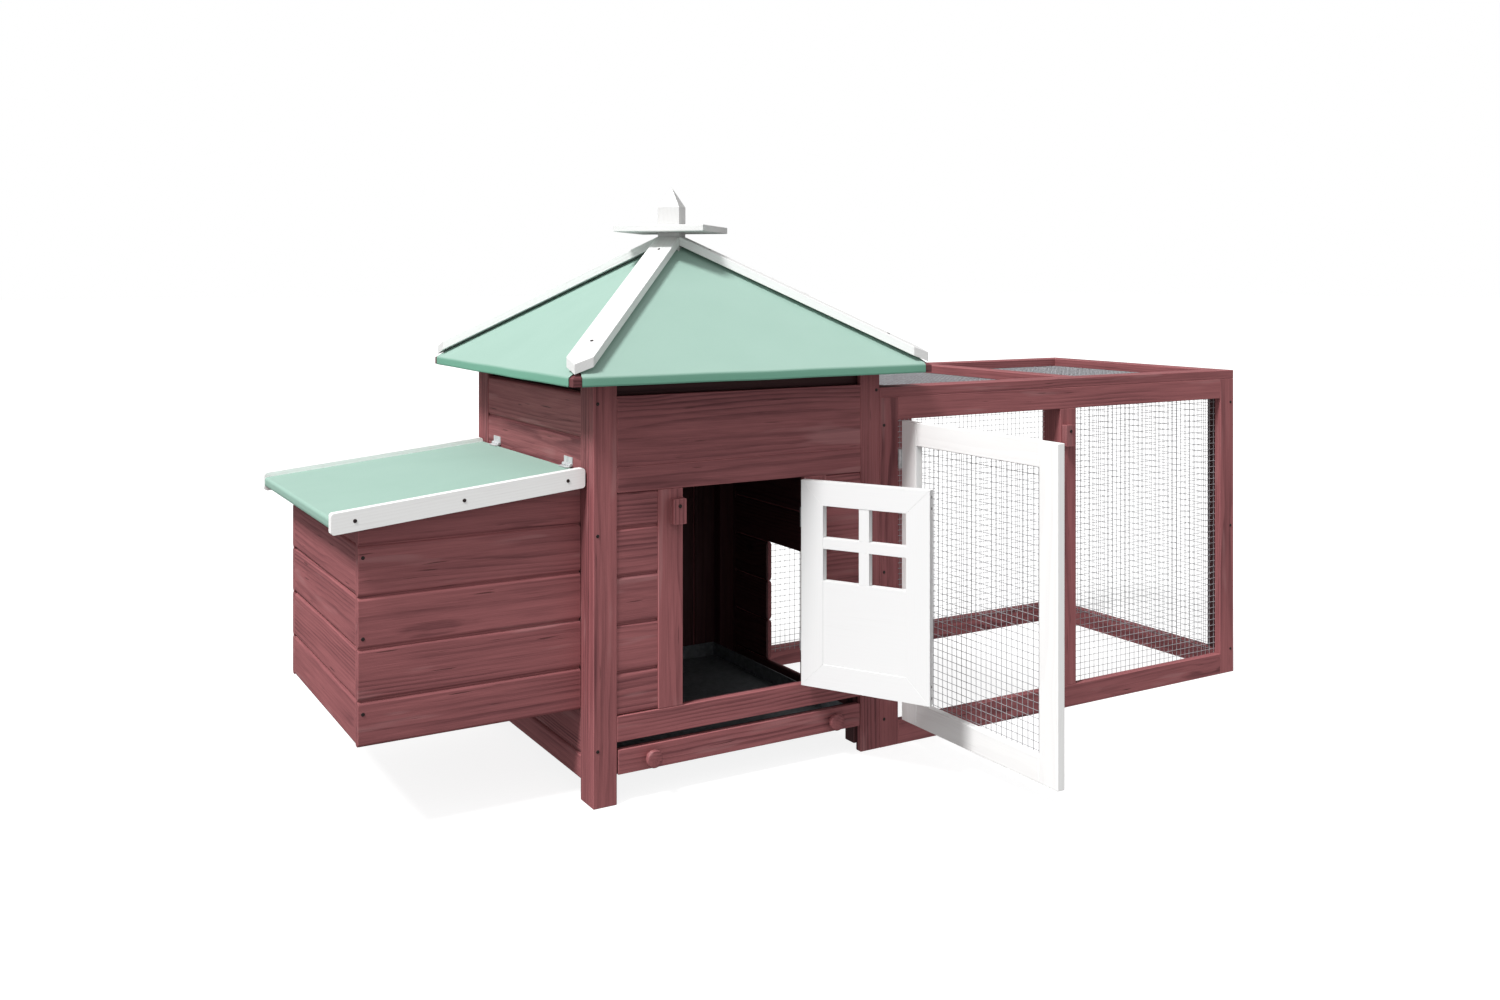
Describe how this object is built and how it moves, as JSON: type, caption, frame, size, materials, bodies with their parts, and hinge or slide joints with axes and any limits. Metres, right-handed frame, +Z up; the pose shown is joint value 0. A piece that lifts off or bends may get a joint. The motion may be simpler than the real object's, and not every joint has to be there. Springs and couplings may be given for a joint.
{
  "type": "chicken coop",
  "caption": "Stained wood hen house with felted pyramid roof, lidded nest box, pull-out tray and a wire-mesh run; both doors stand open.",
  "frame": {"origin": "bottom centre of the whole object with its doors as they stand, on the ground", "axes": "+Z up, +Y from the doors to the back wall, +X from the nest box to the run"},
  "size_m": [1.929, 1.0116, 1.024],
  "materials": {
    "stained_wood": "reddish brown stained softwood, matte, visible grain and knots",
    "white_paint": "white painted softwood, grain faintly visible",
    "green_felt": "pale green bitumen roofing felt, matte, fine mineral grit",
    "wire_mesh": "galvanised welded wire, about 13 mm square",
    "galvanised_steel": "zinc plated pressed steel",
    "tray_sheet": "galvanised sheet steel",
    "dark_screw": "dark bronze screw heads"
  },
  "bodies": {
    "coop": {"front_legs": "stained_wood", "door_jambs": "stained_wood", "front_sill_rail": "stained_wood", "front_head_rail": "stained_wood", "front_upper_board": "stained_wood", "front_boards": "stained_wood", "left_wall_stiles": "stained_wood", "left_wall_boards": "stained_wood", "corner_posts": "stained_wood", "right_wall_stiles": "stained_wood", "right_wall_boards": "stained_wood", "back_legs": "stained_wood", "back_rails": "stained_wood", "back_boards": "stained_wood", "wall_plates": "stained_wood", "roof_deck": "stained_wood", "roof_felt": "green_felt", "hip_battens": "white_paint", "coop_screws": "dark_screw", "finial_king_block": "white_paint", "finial_plate": "white_paint", "finial_post": "white_paint", "nest_side_boards": "stained_wood", "nest_end_boards": "stained_wood", "nest_floor": "stained_wood", "nest_lid_hinge_wall_leaves": "galvanised_steel", "hinge_pins": "galvanised_steel", "door_hinge_jamb_leaves": "galvanised_steel", "button_screws": "dark_screw", "tray_runners": "stained_wood", "run_front_posts": "stained_wood", "run_middle_backing_post": "stained_wood", "run_front_rails": "stained_wood", "run_front_mesh": "wire_mesh", "run_back_frame": "stained_wood", "run_back_mesh": "wire_mesh", "run_end_frame": "stained_wood", "run_end_mesh": "wire_mesh", "run_roof_frame": "stained_wood", "run_roof_mesh": "wire_mesh"},
    "nest_lid": {"nest_lid_board": "stained_wood", "nest_lid_felt": "green_felt", "nest_lid_trims": "white_paint", "nest_lid_screws": "dark_screw", "nest_lid_hinge_lid_leaves": "galvanised_steel"},
    "house_door": {"house_door_frame": "white_paint", "house_door_panel": "white_paint", "house_door_glazing_bars": "white_paint", "house_door_screws": "dark_screw", "house_door_hinge_door_leaves": "galvanised_steel"},
    "run_door": {"run_door_frame": "white_paint", "run_door_mesh": "wire_mesh", "run_door_hinge_door_leaves": "galvanised_steel"},
    "house_button": {"house_turn_button": "stained_wood"},
    "run_button": {"run_turn_button": "stained_wood"},
    "tray": {"tray_front": "stained_wood", "tray_pan": "tray_sheet", "tray_knobs": "stained_wood"}
  },
  "joints": [
    {"name": "house_door_hinge", "type": "hinge", "parent": "coop", "child": "house_door", "pos_m": [-0.152, -0.10725, 0.143], "axis": [0, 0, 1], "range_deg": [-120, 15]},
    {"name": "run_door_hinge", "type": "hinge", "parent": "coop", "child": "run_door", "pos_m": [0.056, -0.10725, 0.0435], "axis": [0, 0, 1], "range_deg": [-5, 90]},
    {"name": "nest_lid_hinge", "type": "hinge", "parent": "coop", "child": "nest_lid", "pos_m": [-0.5561, -0.05425, 0.5416], "axis": [0, 1, 0], "range_deg": [0, 62]},
    {"name": "tray_slide", "type": "slide", "parent": "coop", "child": "tray", "axis": [0, -1, 0], "range_m": [0, 0.45]},
    {"name": "house_button_turn", "type": "hinge", "parent": "coop", "child": "house_button", "pos_m": [-0.4045, -0.10425, 0.476], "axis": [0, -1, 0], "range_deg": [-90, 90]},
    {"name": "run_button_turn", "type": "hinge", "parent": "coop", "child": "run_button", "pos_m": [0.4725, -0.10425, 0.55], "axis": [0, -1, 0], "range_deg": [-90, 90]}
  ]
}
